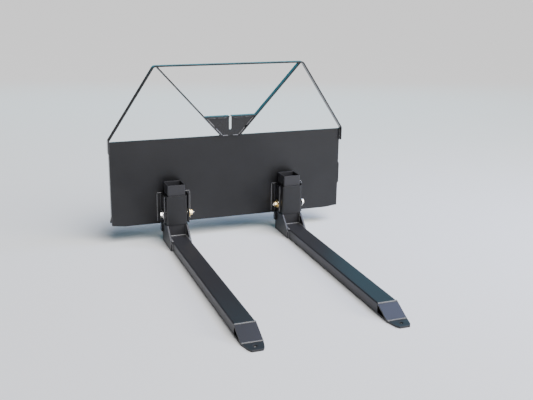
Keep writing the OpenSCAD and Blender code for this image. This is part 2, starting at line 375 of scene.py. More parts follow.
@dataclass(frozen=True)
class YellowZinc(Finish):
    """Zinc plate with a yellow chromate film, on fasteners.

    Attributes:
        name: the material's name.
        gold: the film's main colour, linear.
        pale: its colour where it is thin.
        rose: its colour where it is thick.
        roughness: the plate's mean roughness.
        slot: the name of a material slot; not used.
    """

    name: str = "yellow_zinc"
    gold: Point3 = (0.80, 0.60, 0.26)
    pale: Point3 = (0.86, 0.83, 0.74)
    rose: Point3 = (0.74, 0.47, 0.36)
    roughness: float = 0.26
    slot: str = "zinc_hardware"

    def fill(self, bench: NodeBench, shader: bpy.types.Node, place: bpy.types.NodeSocket) -> None:
        """Builds the film: cloudy gold to pale and rose, with drum-plating scuffs.

        Args:
            bench: the material's node bench.
            shader: the principled shader.
            place: object coordinates, in metres.
        """
        film = self.noise(bench, place, scale=90.0, detail=3.0, rough=0.6)
        scuff = self.noise(bench, place, scale=1500.0, rough=0.6)
        tint = bench.add(
            "ShaderNodeValToRGB",
            {"stops": [(0.30, (*self.pale, 1.0)), (0.48, (*self.gold, 1.0)),
                       (0.60, (*self.gold, 1.0)), (0.74, (*self.rose, 1.0))]},
            {0: film},
        ).outputs[0]
        bump = bench.add("ShaderNodeBump", None,
                         {"Strength": 0.6, "Distance": 0.00004, "Height": scuff})
        shader.inputs["Metallic"].default_value = 1.0
        gloss = self.roughness + (scuff - 0.5) * 0.2 + (film - 0.5) * 0.12
        self.feed(bench, shader, tint, gloss, bump)


@dataclass(frozen=True)
class PaleFloor(Finish):
    """A seamless pale studio floor.

    Attributes:
        name: the material's name.
        colour: the floor's colour, linear.
    """

    name: str = "pale_floor"
    colour: Point3 = (0.86, 0.86, 0.87)

    def fill(self, bench: NodeBench, shader: bpy.types.Node, place: bpy.types.NodeSocket) -> None:
        """Builds a matt, faintly mottled paper surface.

        Args:
            bench: the material's node bench.
            shader: the principled shader.
            place: object coordinates, in metres.
        """
        mottle = self.noise(bench, place, scale=3.0)
        shade = tuple(c * 0.985 for c in self.colour)
        bench.tree.links.new(self.blend(bench, mottle, (*self.colour, 1.0), (*shade, 1.0)),
                             shader.inputs["Base Color"])
        shader.inputs["Roughness"].default_value = 0.9
        shader.inputs["Specular IOR Level"].default_value = 0.1


PLATE_PAINT = SatinPaint("plate_paint", roughness=0.40, coat=0.05, shine=0.42)
GUARD_PAINT = SatinPaint("guard_paint", roughness=0.26, coat=0.2, shine=0.42)
RECEIVER_PAINT = SatinPaint("receiver_paint", roughness=0.36, coat=0.05, shine=0.46)
FORK_PAINT = SatinPaint("fork_paint", roughness=0.22, rub=0.15, coat=0.35, shine=0.4,
                        slot="fork_paint")
# Weld beads carry the same black enamel as the steel, but both colours here are lighter grey (0.11,
# and 0.30 for thin spots). This is a painted highlight that stands in for light caught on the
# glossy ripples.
WELD_PAINT_PAINTED_HIGHLIGHT = SatinPaint("weld_paint", colour=(0.11, 0.11, 0.115), haze=(0.30, 0.30, 0.31),
                        roughness=0.22, peel=0.00003, coat=0.6)
ZINC = YellowZinc()
# Bolts, their threads and the head washers are the same yellow zinc as the nuts, painted near
# white. This is a painted highlight that stands in for the strong light on the bolt heads.
ZINC_PAINTED_HIGHLIGHT = YellowZinc("pale_zinc", gold=(0.87, 0.85, 0.80), pale=(0.92, 0.92, 0.91),
                       rose=(0.84, 0.78, 0.68), roughness=0.22)


# --------------------------------------------------------------- mesh making


@dataclass
class Bench:
    """Makes meshes from profiles and hands finished pieces to the frame.

    Attributes:
        plate_y: the Y of the carriage plate's front face in the frame, in metres.
        made: the names of the pieces handed over so far.
    """

    plate_y: float
    made: list[str] = field(default_factory=list)

    def spot(self, point: Point3) -> Vector:
        """Returns a point given in millimetres as metres in the frame."""
        return Vector((point[0] * MM, point[1] * MM + self.plate_y, point[2] * MM))

    def place(self, axis: Axis, profile: Point2, along: float) -> Vector:
        """Works out a profile's point at a distance along the axis, in the frame.

        Args:
            axis: the axis that the profile is pulled along.
            profile: the point's other two coordinates.
            along: its coordinate on the axis.

        Returns:
            A profile's point at a distance along the axis, in the frame.
        """
        spot = list(profile)
        spot.insert(axis.value, along)
        return self.spot(tuple(spot))

    def slab(
        self,
        name: str,
        outline: Sequence[Point2],
        axis: Axis,
        low: float,
        high: float,
        holes: Iterable[Sequence[Point2]] = (),
    ) -> bpy.types.Object:
        """Pulls a flat outline into a closed solid.

        Args:
            name: the piece's name.
            outline: the outer loop.
            axis: the axis to pull it along.
            low: the solid's lowest coordinate on the axis.
            high: its highest.
            holes: inner loops, cut right through.

        Returns:
            The new object.
        """
        mesh = bmesh.new()
        loops = [outline, *holes]
        for loop in loops:
            verts = [mesh.verts.new(self.place(axis, point, low)) for point in loop]
            for first, second in zip(verts, verts[1:] + verts[:1]):
                mesh.edges.new((first, second))
        if len(loops) == 1:
            mesh.faces.new(list(mesh.verts))
        else:
            bmesh.ops.triangle_fill(mesh, use_beauty=True, edges=list(mesh.edges))
        pulled = bmesh.ops.extrude_face_region(mesh, geom=list(mesh.faces))["geom"]
        step = self.place(axis, (0.0, 0.0), high) - self.place(axis, (0.0, 0.0), low)
        moved = [item for item in pulled if isinstance(item, bmesh.types.BMVert)]
        bmesh.ops.translate(mesh, vec=step, verts=moved)
        return self.as_object(name, mesh)

    def turned(
        self, name: str, profile: Sequence[Point2], centre: Point2, steps: int = 48
    ) -> bpy.types.Object:
        """Turns a closed profile about an axis along X.

        Args:
            name: the piece's name.
            profile: the loop of (x, radius); it stays off the axis or ends on it.
            centre: the axis's (y, z).
            steps: flats round the axis.

        Returns:
            The new object.
        """
        mesh = bmesh.new()
        rings = []
        for step in range(steps):
            turn = 2.0 * math.pi * step / steps
            y, z = math.cos(turn), math.sin(turn)
            rings.append([
                mesh.verts.new(self.spot((x, centre[0] + r * y, centre[1] + r * z)))
                for x, r in profile
            ])
        count = len(profile)
        for ring, following in zip(rings, rings[1:] + rings[:1]):
            for i in range(count):
                j = (i + 1) % count
                if profile[i][1] == 0.0 and profile[j][1] == 0.0:
                    continue
                mesh.faces.new((ring[i], ring[j], following[j], following[i]))
        bmesh.ops.remove_doubles(mesh, verts=list(mesh.verts), dist=1e-7)
        return self.as_object(name, mesh)

    def as_object(self, name: str, mesh: bmesh.types.BMesh) -> bpy.types.Object:
        """Closes a bmesh into an object with its faces pointing outwards.

        Args:
            name: the object's name.
            mesh: the bmesh, which is freed.

        Returns:
            The new object.
        """
        bmesh.ops.recalc_face_normals(mesh, faces=list(mesh.faces))
        data = bpy.data.meshes.new(name)
        mesh.to_mesh(data)
        mesh.free()
        return in_scene(name, data)

    def settle(self, piece: bpy.types.Object) -> bpy.types.Object:
        """Turns a piece's modifiers into its mesh.

        Args:
            piece: the object with live modifiers.

        Returns:
            The same object, with a plain mesh.
        """
        graph = bpy.context.evaluated_depsgraph_get()
        result = bpy.data.meshes.new_from_object(piece.evaluated_get(graph), depsgraph=graph)
        piece.modifiers.clear()
        old, piece.data = piece.data, result
        bpy.data.meshes.remove(old)
        return piece

    def cut(
        self, piece: bpy.types.Object, cutters: Sequence[bpy.types.Object], keep: bool = False
    ) -> bpy.types.Object:
        """Takes other solids out of a piece, or keeps only what they share.

        Args:
            piece: the solid to cut.
            cutters: the solids to take away, which are then removed.
            keep: True keeps only the shared space.

        Returns:
            The piece.
        """
        for cutter in cutters:
            tool = piece.modifiers.new("cut", "BOOLEAN")
            tool.operation = "INTERSECT" if keep else "DIFFERENCE"
            tool.solver = "EXACT"
            tool.object = cutter
        self.settle(piece)
        for cutter in cutters:
            bpy.data.objects.remove(cutter)
        return piece

    def soften(
        self, piece: bpy.types.Object, width: float, steps: int = 2, angle: float = 30.0
    ) -> None:
        """Rounds a piece's sharp edges and smooths its shading.

        Args:
            piece: the solid.
            width: the rounding's width, in millimetres.
            steps: flats in the rounding.
            angle: the sharpest edge, in degrees, that is left alone.
        """
        tidy = bmesh.new()
        tidy.from_mesh(piece.data)
        bmesh.ops.remove_doubles(tidy, verts=list(tidy.verts), dist=1e-6)
        bmesh.ops.dissolve_limit(tidy, angle_limit=math.radians(0.5), verts=list(tidy.verts),
                                 edges=list(tidy.edges))
        tidy.to_mesh(piece.data)
        tidy.free()
        piece.data.shade_smooth()
        bevel = piece.modifiers.new("soft_edges", "BEVEL")
        bevel.width = width * MM
        bevel.segments = steps
        bevel.limit_method = "ANGLE"
        bevel.angle_limit = math.radians(angle)
        even = piece.modifiers.new("even_shading", "WEIGHTED_NORMAL")
        even.keep_sharp = True
        even.weight = 80
        self.settle(piece)

    def steel(
        self, piece: bpy.types.Object, rounding: float, paint: Finish, node: str, steps: int = 2
    ) -> None:
        """Rounds and hands over one welded piece of the frame body.

        Args:
            piece: the solid.
            rounding: the width of its rounded edges, in millimetres.
            paint: its paint.
            node: the frame node that it stands for.
            steps: flats in the rounding.
        """
        self.soften(piece, rounding, steps)
        self.hand_over(piece, paint, "frame", [node])

    def hand_over(
        self,
        piece: bpy.types.Object,
        finish: Finish,
        body: str,
        nodes: Sequence[str] = (),
    ) -> None:
        """Dresses a piece and gives it to the frame.

        Args:
            piece: the finished mesh object.
            finish: its finish.
            body: the frame body that it rides on.
            nodes: the frame nodes that it stands for.
        """
        piece.data.materials.clear()
        piece.data.materials.append(finish.material())
        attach(piece, body)
        if nodes:
            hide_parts(*nodes)
        self.made.append(piece.name)
        LOG.info("%s: %d faces, rides on %s", piece.name, len(piece.data.polygons), body)


def arc(centre: Point2, radius: float, start: float, end: float, steps: int) -> list[Point2]:
    """Works out points along an arc.

    Args:
        centre: the arc's centre.
        radius: its radius.
        start: the first angle, in degrees.
        end: the last.
        steps: flats in the arc.

    Returns:
        Points along an arc.
    """
    turns = [math.radians(start + (end - start) * i / steps) for i in range(steps + 1)]
    return [(centre[0] + radius * math.cos(t), centre[1] + radius * math.sin(t)) for t in turns]


def rounded_box(
    centre: Point2, width: float, height: float, radius: float, steps: int = 6
) -> list[Point2]:
    """Works out a rectangle with rounded corners.

    Args:
        centre: the rectangle's centre.
        width: its first size.
        height: its second size.
        radius: the corners' radius.
        steps: flats in each corner.

    Returns:
        A rectangle with rounded corners.
    """
    across, up = width / 2 - radius, height / 2 - radius
    corners = [(across, up, 0), (-across, up, 90), (-across, -up, 180), (across, -up, 270)]
    points: list[Point2] = []
    for dx, dy, start in corners:
        points += arc((centre[0] + dx, centre[1] + dy), radius, start, start + 90, steps)
    return points


def circle(centre: Point2, radius: float, steps: int = 40) -> list[Point2]:
    """Returns a full circle as a loop of points."""
    return arc(centre, radius, 0.0, 360.0 * (steps - 1) / steps, steps - 1)


# ------------------------------------------------------- what repeats (nodes)


def new_group(name: str, inputs: dict[str, str]) -> tuple[NodeBench, Any]:
    """Makes a geometry group that takes and gives geometry.

    Args:
        name: the group's name.
        inputs: its other inputs' names, each with its socket's type.

    Returns:
        The group's node bench and its input sockets.
    """
    tree = bpy.data.node_groups.new(name, "GeometryNodeTree")
    for label, kind in {"Geometry": "Geometry", **inputs}.items():
        tree.interface.new_socket(label, in_out="INPUT", socket_type=f"NodeSocket{kind}")
    tree.interface.new_socket("Geometry", in_out="OUTPUT", socket_type="NodeSocketGeometry")
    bench = NodeBench(tree)
    return bench, bench.add("NodeGroupInput").outputs


@dataclass
class WeldRun:
    """A geometry tree that lays overlapping ripples along drawn paths.

    Attributes:
        width: the bead's width, in millimetres.
        pitch: the distance from one ripple to the next.
        proud: the bead's height as a share of its width.
        overlap: a ripple's length, in pitches.
        seed: the seed of the welder's unevenness.
    """

    width: float = 6.0
    pitch: float = 2.3
    proud: float = 0.72
    overlap: float = 2.1
    seed: int = 7

    def tree(self) -> bpy.types.NodeTree:
        """Finds the tree, or makes it on the first call.

        Returns:
            The tree.
        """
        found = bpy.data.node_groups.get("weld_run")
        if found:
            return found
        bench, given = new_group("weld_run", {
            "Width": "Float", "Pitch": "Float", "Proud": "Float", "Seed": "Int",
            "Finish": "Material",
        })
        line = bench.add("GeometryNodeMeshToCurve", None, {"Mesh": given["Geometry"]}).outputs[0]
        spaced = bench.add("GeometryNodeResampleCurve", {"mode": "LENGTH"},
                           {"Curve": line, "Length": given["Pitch"]}).outputs[0]
        ripple = bench.add("GeometryNodeMeshUVSphere", None,
                           {"Segments": 8, "Rings": 5, "Radius": 0.5})
        along = bench.add("GeometryNodeInputTangent").outputs[0]
        turn = bench.add("FunctionNodeAlignRotationToVector", {"axis": "X"},
                         {"Vector": along}).outputs[0]
        long = Num(bench, given["Pitch"]) * self.overlap
        high = Num(bench, given["Width"]) * Num(bench, given["Proud"])
        size = bench.add("ShaderNodeCombineXYZ", None,
                         {0: long, 1: given["Width"], 2: high}).outputs[0]
        uneven = bench.add("FunctionNodeRandomValue", {"data_type": "FLOAT"},
                           {"Min": 0.88, "Max": 1.10, "Seed": given["Seed"]})
        factor = next(s for s in uneven.outputs if s.type == "VALUE" and s.enabled)
        scaled = bench.add("ShaderNodeVectorMath", {"operation": "SCALE"},
                           {0: size, "Scale": factor}).outputs[0]
        laid = bench.add("GeometryNodeInstanceOnPoints", None,
                         {"Points": spaced, "Instance": ripple.outputs["Mesh"], "Rotation": turn,
                          "Scale": scaled}).outputs[0]
        real = bench.add("GeometryNodeRealizeInstances", None, {"Geometry": laid}).outputs[0]
        smooth = bench.add("GeometryNodeSetShadeSmooth", None, {"Geometry": real}).outputs[0]
        dressed = bench.add("GeometryNodeSetMaterial", None,
                            {"Geometry": smooth, "Material": given["Finish"]}).outputs[0]
        bench.add("NodeGroupOutput", None, {0: dressed})
        return bench.tree

    def lay(
        self, bench: Bench, name: str, paths: Sequence[Path]
    ) -> None:
        """Lays beads along paths as one piece of the frame body.

        Args:
            bench: the mesh bench.
            name: the piece's name.
            paths: polylines in millimetres.
        """
        mesh = bmesh.new()
        for path in paths:
            verts = [mesh.verts.new(bench.spot(point)) for point in path]
            for first, second in zip(verts, verts[1:]):
                mesh.edges.new((first, second))
        piece = bench.as_object(name, mesh)
        # The beads' lighter grey paint is a painted highlight.
        values = {"Width": self.width * MM, "Pitch": self.pitch * MM, "Proud": self.proud,
                  "Seed": self.seed, "Finish": WELD_PAINT_PAINTED_HIGHLIGHT.material()}
        bench.hand_over(grown(bench, piece, self.tree(), values), WELD_PAINT_PAINTED_HIGHLIGHT, "frame")


@dataclass
class ThreadRun:
    """A geometry tree that winds a thread's ridge along X.

    Attributes:
        pitch: the thread's pitch, in millimetres.
        depth: the ridge's height.
        steps: flats in one turn.
    """

    pitch: float = 25.4 / 11
    depth: float = 1.25
    steps: int = 28

    def tree(self) -> bpy.types.NodeTree:
        """Finds the tree, or makes it on the first call.

        Returns:
            The tree.
        """
        found = bpy.data.node_groups.get("thread_run")
        if found:
            return found
        bench, given = new_group("thread_run", {
            "Resolution": "Int", "Turns": "Float", "Radius": "Float", "Length": "Float",
            "Ridge": "Float", "Start": "Vector", "Tilt": "Vector", "Finish": "Material",
        })
        coil = bench.add("GeometryNodeCurveSpiral", None,
                         {"Resolution": given["Resolution"], "Rotations": given["Turns"],
                          "Start Radius": given["Radius"], "End Radius": given["Radius"],
                          "Height": given["Length"]}).outputs[0]
        ridge = bench.add("GeometryNodeCurvePrimitiveCircle", {"mode": "RADIUS"},
                          {"Resolution": 4, "Radius": given["Ridge"]}).outputs[0]
        swept = bench.add("GeometryNodeCurveToMesh", None,
                          {"Curve": coil, "Profile Curve": ridge, "Fill Caps": True}).outputs[0]
        laid = bench.add("GeometryNodeTransform", None,
                         {"Geometry": swept, "Translation": given["Start"],
                          "Rotation": given["Tilt"]}).outputs[0]
        both = bench.add("GeometryNodeJoinGeometry").inputs[0]
        bench.tree.links.new(laid, both)
        bench.tree.links.new(given["Geometry"], both)
        real = bench.add("GeometryNodeRealizeInstances", None,
                         {"Geometry": both.node.outputs[0]}).outputs[0]
        dressed = bench.add("GeometryNodeSetMaterial", None,
                            {"Geometry": real, "Material": given["Finish"]}).outputs[0]
        bench.add("NodeGroupOutput", None, {0: dressed})
        return bench.tree

    def wind(
        self,
        bench: Bench,
        shank: bpy.types.Object,
        start: Point3,
        length: float,
        radius: float,
        way: int,
    ) -> bpy.types.Object:
        """Adds a thread to a turned shank.

        Args:
            bench: the mesh bench.
            shank: the plain shank, whose core is thinner where the thread lies.
            start: the thread's first point on the axis, in millimetres.
            length: the thread's length.
            radius: the thread's crest radius.
            way: 1 winds towards +X and -1 towards -X.

        Returns:
            The shank with its thread.
        """
        turns = length / self.pitch
        ridge = self.depth * 0.62
        values = {"Resolution": self.steps, "Turns": turns, "Radius": (radius - ridge) * MM,
                  "Length": length * MM, "Ridge": ridge * MM, "Start": tuple(bench.spot(start)),
                  "Tilt": (0.0, way * math.pi / 2, 0.0), "Finish": ZINC_PAINTED_HIGHLIGHT.material()}
        return grown(bench, shank, self.tree(), values)


def grown(
    bench: Bench, piece: bpy.types.Object, tree: bpy.types.NodeTree, values: dict[str, Any]
) -> bpy.types.Object:
    """Runs a geometry tree on a piece and keeps the result as its mesh.

    Args:
        bench: the mesh bench.
        piece: the object that feeds the tree.
        tree: the geometry tree.
        values: the tree's inputs, by name.

    Returns:
        The piece.
    """
    tool = piece.modifiers.new("grown", "NODES")
    tool.node_group = tree
    sockets = {item.name: item.identifier for item in tree.interface.items_tree
               if item.item_type == "SOCKET" and item.in_out == "INPUT"}
    for name, value in values.items():
        tool[sockets[name]] = value
    return bench.settle(piece)


# ------------------------------------------------------------ sub-assemblies


@dataclass
class CarriagePlate:
    """The carriage plate.

    Attributes:
        width: the plate's width.
        height: its height.
        thick: its thickness.
        lift: its bottom edge's height above the ground.
        corner_rise: how far its bottom corners rise.
        corner_run: the length of each corner's slope.
    """

    width: float = 1143.0
    height: float = 404.0
    thick: float = 10.0
    lift: float = 84.0
    corner_rise: float = 7.0
    corner_run: float = 63.0

    @property
    def top(self) -> float:
        """The height of the plate's top edge."""
        return self.lift + self.height

    def build(self, bench: Bench) -> None:
        """Builds and dresses the plate.

        Args:
            bench: the mesh bench.
        """
        half = self.width / 2
        outline = [(-half, self.lift + self.corner_rise), (-half + self.corner_run, self.lift),
                   (half - self.corner_run, self.lift), (half, self.lift + self.corner_rise),
                   (half, self.top), (-half, self.top)]
        plate = bench.slab("carriage_plate", outline, Axis.Y, 0.0, self.thick)
        bench.steel(plate, 0.9, PLATE_PAINT, "face_plate")


@dataclass
class RearCoupling:
    """The lip, flange and end ribs on the back, and the heel stops and side lug.

    Attributes:
        plate: the carriage plate.
        lip: thickness of the lip and the flange.
        lip_reach: the lip's reach behind the plate.
        flange_reach: the flange's reach behind the plate.
        flange_root: the flange's root above the plate's bottom edge.
        pin_pitch: the distance between the lock-pin slots.
        pin_slot: each slot's length and width.
        rib: thickness of the end ribs.
        rib_depth: depth of the end ribs.
        stop_drop: drop of the heel stops below the plate.
        stop_rise: the heel stops' upper end above the plate's bottom edge.
        stop_depth: depth of the heel stops in front of the plate.
        stop: thickness of the heel stops.
        stop_x: distance of a heel stop from its fork's middle.
        fork_x: distance of each fork from the plate's middle.
        lug: the side lug's rise, length, thickness and depth.
    """

    plate: CarriagePlate
    lip: float = 10.0
    lip_reach: float = 28.0
    flange_reach: float = 48.0
    flange_root: float = 66.0
    pin_pitch: float = 776.0
    pin_slot: Point2 = (64.0, 24.0)
    rib: float = 12.0
    rib_depth: float = 20.0
    stop_drop: float = 34.0
    stop_rise: float = 10.0
    stop_depth: float = 22.0
    stop: float = 8.0
    stop_x: float = 50.3
    fork_x: float = 286.0
    lug: tuple[float, float, float, float] = (109.0, 121.0, 5.0, 20.0)

    @property
    def drop(self) -> float:
        """The height of the lip's and the flange's sloped root."""
        return self.lip * math.sqrt(2)

    @property
    def flange_z(self) -> float:
        """The height of the flange's upper root."""
        return self.plate.lift + self.flange_root

    def sloped(self, root: float, reach: float) -> list[Point2]:
        """Works out the profile, as (y, z), of a plate that leaves the back at 45 degrees.

        Args:
            root: the height of its upper root.
            reach: its reach along its lower face.

        Returns:
            The profile, as (y, z), of a plate that leaves the back at 45 degrees.
        """
        back, end = self.plate.thick, self.drop / 2
        return [(back, root), (back, root - self.drop), (back + reach, root - self.drop - reach),
                (back + reach + end, root - reach - end)]

    def build(self, bench: Bench) -> None:
        """Builds and dresses the back of the plate.

        Args:
            bench: the mesh bench.
        """
        half, back = self.plate.width / 2, self.plate.thick
        lip_line = self.sloped(self.plate.top, self.lip_reach)
        lip = bench.slab("coupling_lip", lip_line, Axis.X, -half, half)
        bench.steel(lip, 1.0, PLATE_PAINT, "top_lip")
        flange_line = self.sloped(self.flange_z, self.flange_reach)
        flange = bench.slab("coupling_flange", flange_line, Axis.X, -half, half)
        slot_y = back + self.flange_reach / 2 + self.drop / 4
        cutters = [
            bench.slab(f"slot_cutter_{side.word}",
                       rounded_box((side.value * self.pin_pitch / 2, slot_y), *self.pin_slot,
                                   radius=1.5, steps=4),
                       Axis.Z, 0.0, self.flange_z)
            for side in Side
        ]
        bench.cut(flange, cutters)
        bench.steel(flange, 0.8, PLATE_PAINT, "bottom_flange")
        depth = back + self.rib_depth
        rib_top = self.plate.top - self.drop - self.rib_depth
        rib_line = [(back, self.flange_z), (depth, self.flange_z - self.rib_depth),
                    (depth, rib_top), (back, rib_top + self.rib_depth)]
        for side in Side:
            ends = sorted((side.value * half, side.value * (half - self.rib)))
            rib = bench.slab(f"coupling_rib_{side.word}", rib_line, Axis.X, *ends)
            bench.steel(rib, 0.8, PLATE_PAINT, f"end_rib_{side.word}")
        self.build_stops(bench)
        self.build_lug(bench)
        WeldRun(width=7.0).lay(bench, "coupling_welds", self.weld_paths())

    def weld_paths(self) -> list[Path]:
        """Finds stitches of weld along the roots of the lip and the flange.

        Returns:
            The paths, in millimetres.
        """
        stitch, pitch, first, last, clear = 70.0, 170, -545, 500, 1.5
        y = self.plate.thick + 2.0
        roots = (self.plate.top - self.drop - clear, self.flange_z + clear,
                 self.flange_z - self.drop - clear)
        return [[(x, y, z), (x + stitch, y, z)]
                for x in range(first, last, pitch) for z in roots]

    def build_stops(self, bench: Bench) -> None:
        """Builds the four heel stops that hang beside the forks.

        Args:
            bench: the mesh bench.
        """
        low, high = self.plate.lift - self.stop_drop, self.plate.lift + self.stop_rise
        line = [(-self.stop_depth, low), (0.0, low), (0.0, high), (-self.stop_depth, high)]
        for side in Side:
            for way, word in side.flanks:
                middle = side.value * self.fork_x
                ends = sorted((middle + way * self.stop_x,
                               middle + way * (self.stop_x + self.stop)))
                stop = bench.slab(f"stop_{side.word}_{word}", line, Axis.X, *ends)
                bench.steel(stop, 0.8, RECEIVER_PAINT, f"heel_stop_{side.word}_{word}")

    def build_lug(self, bench: Bench) -> None:
        """Builds the side lug, a strip with a round upper end and a cut lower end.

        Args:
            bench: the mesh bench.
        """
        rise, length, thick, depth = self.lug
        low = self.plate.lift + rise
        high, edge = low + length - depth / 2, self.plate.width / 2
        line = [(0.0, low + depth), (depth, low),
                *arc((depth / 2, high), depth / 2, 0.0, 180.0, steps=12)]
        lug = bench.slab("plate_side_lug", line, Axis.X, edge, edge + thick)
        bench.steel(lug, 0.6, PLATE_PAINT, "side_lug")


@dataclass
class LoadGuard:
    """The bent-bar guard with its two inner braces.

    Attributes:
        plate: the carriage plate.
        rise: the guard's height above the plate.
        top_width: its width across the top corners.
        thick: the flat bar's thickness.
        depth: the flat bar's depth.
        front: the bar's front edge, in front of the plate.
        bend: the bends' inside radius.
        tail: the tails' length on the plate's edges.
        tail_cut: the slope of each tail's end.
        knee: height of the lower bends above the plate.
        foot_width: distance between the braces' feet.
        head_inset: distance of the braces' heads from the top bends.
    """

    plate: CarriagePlate
    rise: float = 338.0
    top_width: float = 722.0
    thick: float = 6.35
    depth: float = 29.0
    front: float = 15.0
    bend: float = 13.0
    tail: float = 56.0
    tail_cut: float = 4.0
    knee: float = 8.0
    foot_width: float = 88.0
    head_inset: float = 5.5

    @property
    def top(self) -> float:
        """The height of the guard's top face."""
        return self.plate.top + self.rise

    @property
    def side_angle(self) -> float:
        """The sloping side's angle from the level, in radians."""
        run = self.plate.width / 2 + self.thick - self.top_width / 2
        return math.atan2(self.rise - self.knee, run)

    @property
    def top_flat(self) -> float:
        """Half the straight part of the top bar."""
        return self.top_width / 2 - (self.bend + self.thick) * math.tan(self.side_angle / 2)

    @property
    def brace_line(self) -> tuple[Point2, Point2]:
        """The right brace's middle line, from its foot to the top bar."""
        head = self.top_flat - self.head_inset, self.top - self.thick
        return (self.foot_width / 2, self.plate.top), head

    @property
    def brace_half(self) -> float:
        """Half of a brace's level width."""
        (x0, z0), (x1, z1) = self.brace_line
        return self.thick / math.sin(math.atan2(z1 - z0, x1 - x0)) / 2

    def half_outline(self, steps: int = 14) -> tuple[list[Point2], list[Point2]]:
        """Works out the right half's outer and inner edge, from the top bar to the tail.

        Args:
            steps: flats in each bend.

        Returns:
            The right half's outer and inner edge, from the top bar to the tail.
        """
        lean = math.degrees(self.side_angle)
        outer_r, edge = self.bend + self.thick, self.plate.width / 2 + self.thick
        turn = math.pi / 2 - self.side_angle
        low_z = self.plate.top + self.knee - outer_r * math.tan(turn / 2)
        upper = (self.top_flat, self.top - outer_r)
        lower = (edge - outer_r, low_z)
        end = self.plate.top - self.tail
        outer, inner = (
            arc(upper, radius, 90.0, 90.0 - lean, steps)
            + arc(lower, radius, 90.0 - lean, 0.0, steps)
            for radius in (outer_r, self.bend)
        )
        return outer + [(edge, end + self.tail_cut)], inner + [(edge - self.thick, end)]

    def build(self, bench: Bench) -> None:
        """Builds and dresses the guard, its braces and its welds.

        Args:
            bench: the mesh bench.
        """
        outer, inner = self.half_outline()
        far_outer = [(-x, z) for x, z in reversed(outer)]
        far_inner = [(-x, z) for x, z in inner]
        outline = outer + inner[::-1] + far_inner + far_outer
        low, high = -self.front, self.depth - self.front
        guard = bench.slab("load_guard_bar", outline, Axis.Y, low, high)
        bench.steel(guard, 0.9, GUARD_PAINT, "guard_bar", steps=3)
        (x0, z0), (x1, z1) = self.brace_line
        half = self.brace_half
        for side in Side:
            line = [(side.value * x, z) for x, z in
                    ((x0 - half, z0), (x0 + half, z0), (x1 + half, z1), (x1 - half, z1))]
            brace = bench.slab(f"guard_brace_{side.word}", line, Axis.Y, low, high)
            bench.steel(brace, 0.8, GUARD_PAINT, f"brace_{side.word}")
        WeldRun().lay(bench, "guard_welds", self.weld_paths())

    def weld_paths(self) -> list[Path]:
        """Finds the beads at the tails, the braces' feet and the braces' heads.

        Returns:
            The paths, in millimetres.
        """
        edge, top = self.plate.width / 2, self.plate.top
        (x0, _), (x1, z1) = self.brace_line
        half = self.brace_half
        paths: list[Path] = []
        clear, inset = 0.5, 3
        for side in Side:
            tail_x, head_x = side.value * (edge - clear), side.value * (x1 - half - 1.0)
            paths.append([(tail_x, -1.0, top - self.tail + inset), (tail_x, -1.0, top - inset)])
            for foot in (x0 - half - clear, x0 + half + clear):
                x = side.value * foot
                paths.append([(x, clear, top + clear),
                              (x, self.plate.thick - clear, top + clear)])
            paths.append([(head_x, -12.0, z1 - 1.0), (head_x, 12.0, z1 - 1.0)])
        return paths


@dataclass
class ChainHanger:
    """The slotted gusset and its top bar, between the braces.

    Attributes:
        guard: the load guard.
        rise: the gusset's height above the plate.
        thick: its thickness.
        slot_width: the chain slot's width.
        slot_depth: its depth below the top bar.
    """

    guard: LoadGuard
    rise: float = 88.0
    thick: float = 6.0
    slot_width: float = 12.0
    slot_depth: float = 60.0

    def half_at(self, height: float) -> float:
        """Returns half the gap between the braces at a height above the plate."""
        (x0, z0), (x1, z1) = self.guard.brace_line
        return x0 - self.guard.brace_half + height * (x1 - x0) / (z1 - z0)

    def build(self, bench: Bench) -> None:
        """Builds and dresses the gusset, the two bars on it and its welds.

        Args:
            bench: the mesh bench.
        """
        base, top = self.guard.plate.top, self.guard.plate.top + self.rise
        slot = self.slot_width / 2
        root = top - self.slot_depth + slot
        wide, foot = self.half_at(self.rise), self.half_at(0.0)
        line = [(-foot, base), (foot, base), (wide, top), (slot, top),
                *arc((0.0, root), slot, 0.0, -180.0, 14), (-slot, top), (-wide, top)]
        gusset = bench.slab("hanger_gusset", line, Axis.Y, -self.thick, 0.0)
        bench.steel(gusset, 0.6, GUARD_PAINT, "hanger_plate")
        low, high = -self.guard.front, self.guard.depth - self.guard.front
        over = self.half_at(self.rise + self.guard.thick)
        for side in Side:
            bar = [(side.value * x, z) for x, z in
                   ((slot, top), (wide, top), (over, top + self.guard.thick),
                    (slot, top + self.guard.thick))]
            piece = bench.slab(f"hanger_top_{side.word}", bar, Axis.Y, low, high)
            bench.steel(piece, 0.7, GUARD_PAINT, f"hanger_bar_{side.word}")
        WeldRun(width=9.0, pitch=3.0, seed=11).lay(bench, "hanger_welds", self.weld_paths())

    def weld_paths(self) -> list[Path]:
        """Finds the beads along the braces, the plate's edge and the top bar.

        Returns:
            The paths, in millimetres.
        """
        base, front = self.guard.plate.top, -self.thick - 0.5
        inset, clear = 1.5, 1.0
        up_the_brace = ((5.0, 34.0), (48.0, 84.0))
        along_the_edges = ((36.0, 15.0, clear), (20.0, 60.0, self.rise - clear),
                           (75.0, 108.0, self.rise - clear))
        paths: list[Path] = []
        for side in Side:
            for ends in up_the_brace:
                paths.append([(side.value * (self.half_at(height) - inset), front, base + height)
                              for height in ends])
            for start, end, height in along_the_edges:
                paths.append([(side.value * x, front, base + height) for x in (start, end)])
        return paths


@dataclass
class CrossHole:
    """The bolt's axis and the hole it goes through.

    Attributes:
        out: the axis's distance in front of the plate.
        height: its height above the ground.
        radius: the hole's radius.
    """

    out: float = 42.0
    height: float = 139.0
    radius: float = 8.6375

    def cutter(self, bench: Bench, middle: float, reach: float) -> bpy.types.Object:
        """Returns a round bar to cut the hole with, which reaches both ways from an X."""
        outline = circle((-self.out, self.height), self.radius)
        return bench.slab("hole_cutter", outline, Axis.X, middle - reach, middle + reach)


